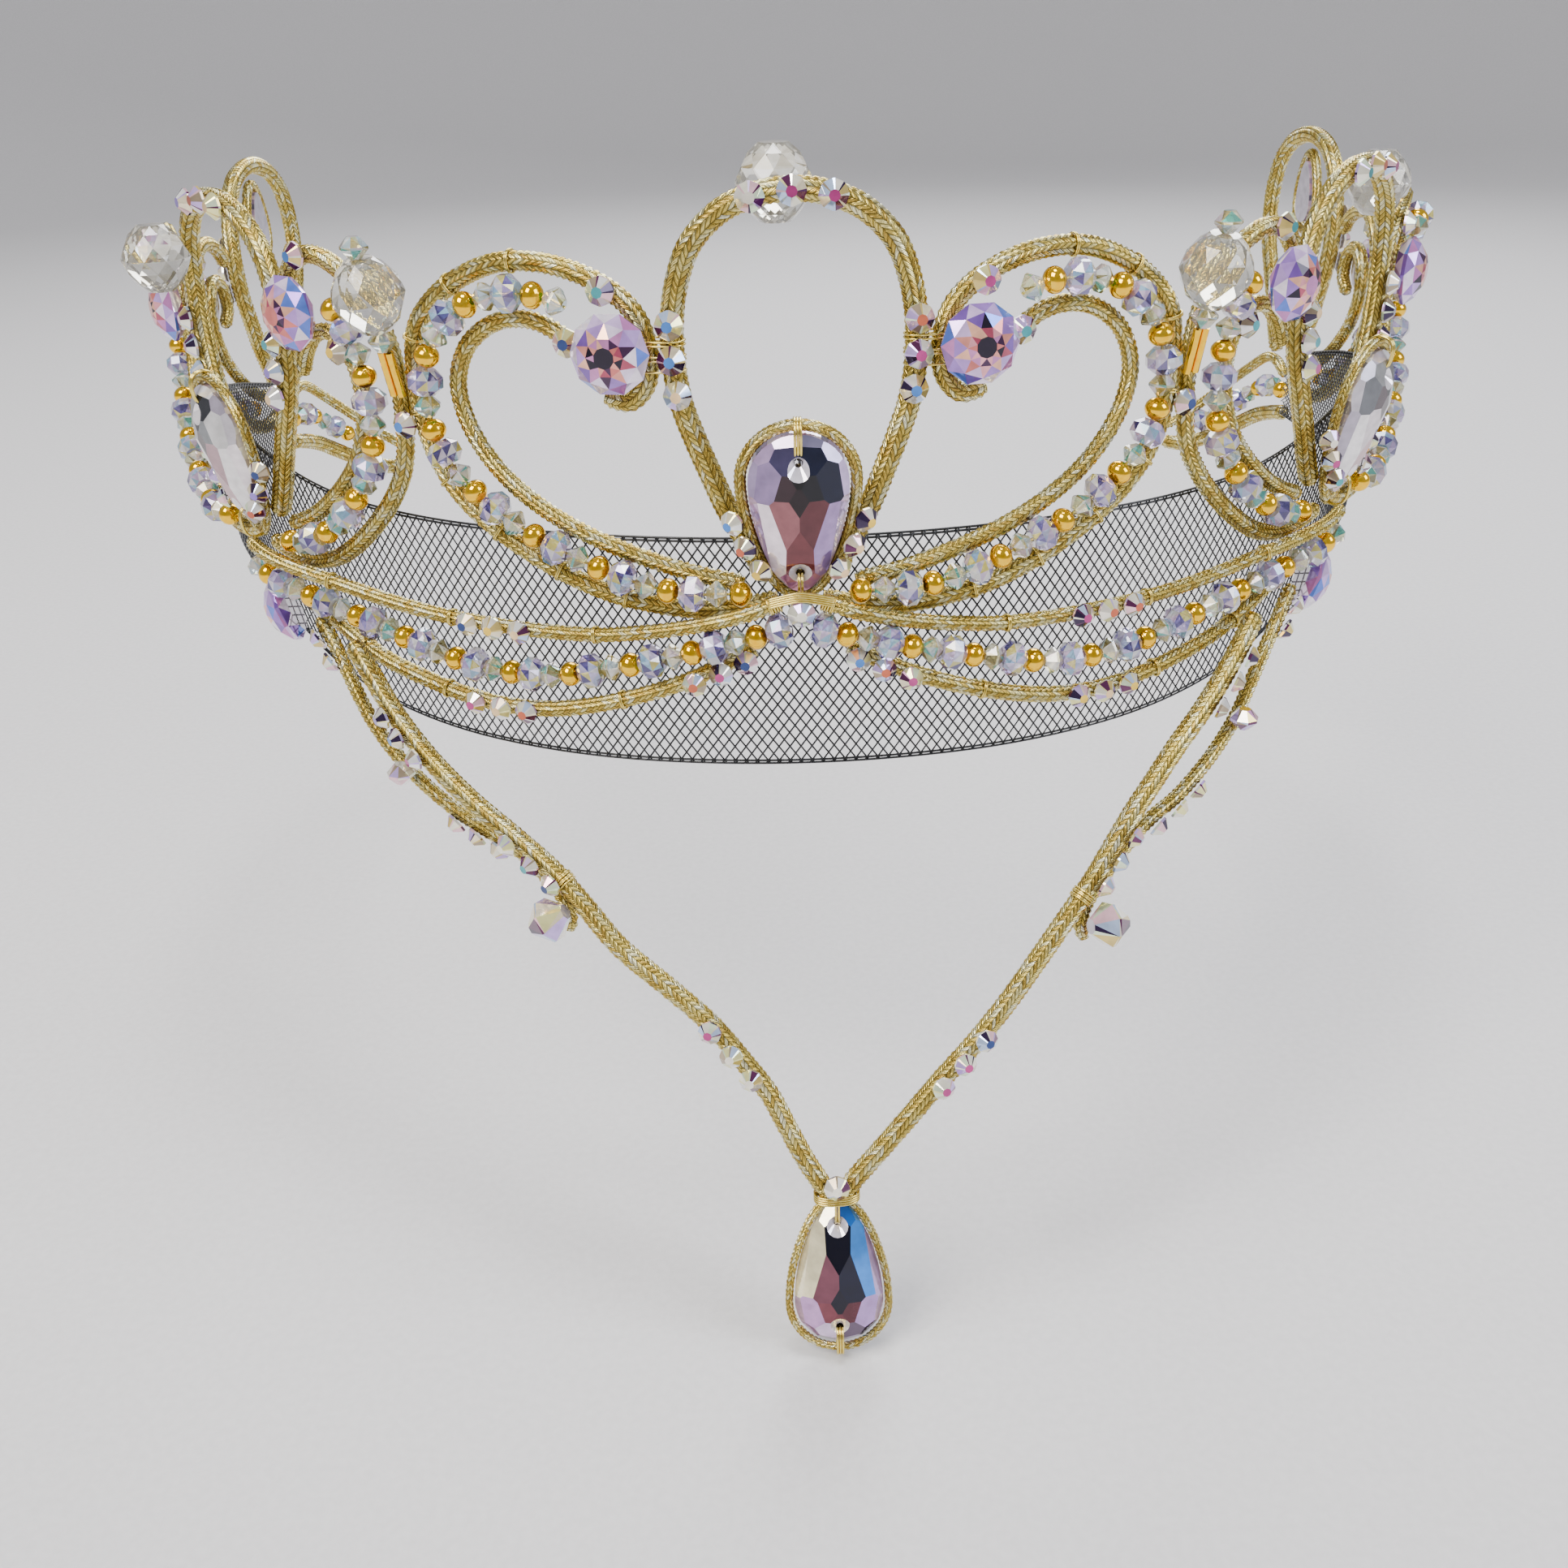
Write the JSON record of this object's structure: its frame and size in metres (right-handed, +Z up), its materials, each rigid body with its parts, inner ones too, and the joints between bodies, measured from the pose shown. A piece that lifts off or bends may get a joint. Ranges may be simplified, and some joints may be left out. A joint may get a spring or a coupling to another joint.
{
  "type": "ballet headpiece",
  "caption": "Open crown of braid-covered wire scrolls with lilac stones, bead swags, a net band and a forehead V that holds a pear pendant.",
  "frame": {"origin": "centre of the head seat, on the vertical axis of the wearer's head, at the height where the front peak's stone stands on the ring", "axes": "+X to the picture's right, -Y towards the front of the crown, +Z up"},
  "size_m": [0.1772, 0.1505, 0.1316],
  "materials": {
    "gold_braid": "metallic thread braided over wire",
    "gold_metal": "polished",
    "lilac_crystal": "cut and foiled",
    "clear_crystal": "cut",
    "pearly_crystal": "cut with an iridescent coat",
    "black_net": "stiff diamond net"
  },
  "bodies": {
    "root": {"front_peak": "gold_braid", "left_peak": "gold_braid", "right_peak": "gold_braid", "left_rear_peak": "gold_braid", "right_rear_peak": "gold_braid", "front_left_scroll": "gold_braid", "front_right_scroll": "gold_braid", "left_near_scroll": "gold_braid", "right_near_scroll": "gold_braid", "left_far_scroll": "gold_braid", "right_far_scroll": "gold_braid", "left_rear_scroll": "gold_braid", "right_rear_scroll": "gold_braid", "front_left_string": "pearly_crystal", "front_right_string": "pearly_crystal", "string_threads": "gold_metal", "left_side_strings": "pearly_crystal", "right_side_strings": "pearly_crystal", "rear_strings": "pearly_crystal", "front_pear": "lilac_crystal", "left_pear": "lilac_crystal", "right_pear": "lilac_crystal", "pendant_pear": "lilac_crystal", "front_pear_frame": "gold_braid", "left_pear_frame": "gold_braid", "right_pear_frame": "gold_braid", "pendant_frame": "gold_braid", "front_left_round_stone": "lilac_crystal", "front_right_round_stone": "lilac_crystal", "left_near_round_stone": "lilac_crystal", "right_near_round_stone": "lilac_crystal", "left_far_round_stone": "lilac_crystal", "right_far_round_stone": "lilac_crystal", "rear_round_stones": "lilac_crystal", "vee_round_stones": "lilac_crystal", "front_top_bead": "clear_crystal", "left_top_bead": "clear_crystal", "right_top_bead": "clear_crystal", "left_near_bead": "clear_crystal", "right_near_bead": "clear_crystal", "junction_sticks": "gold_metal", "junction_beads": "gold_metal", "front_flat_stones": "pearly_crystal", "side_flat_stones": "pearly_crystal", "vee_flat_stones": "pearly_crystal", "swag_flat_stones": "pearly_crystal", "left_swag_top": "gold_braid", "right_swag_top": "gold_braid", "left_swag_low": "gold_braid", "right_swag_low": "gold_braid", "left_swag_string": "pearly_crystal", "right_swag_string": "pearly_crystal", "net_band": "black_net", "left_vee": "gold_braid", "right_vee": "gold_braid", "vee_beads": "clear_crystal", "left_tail": "gold_braid", "right_tail": "gold_braid", "rear_drops": "gold_braid"}
  },
  "joints": []
}
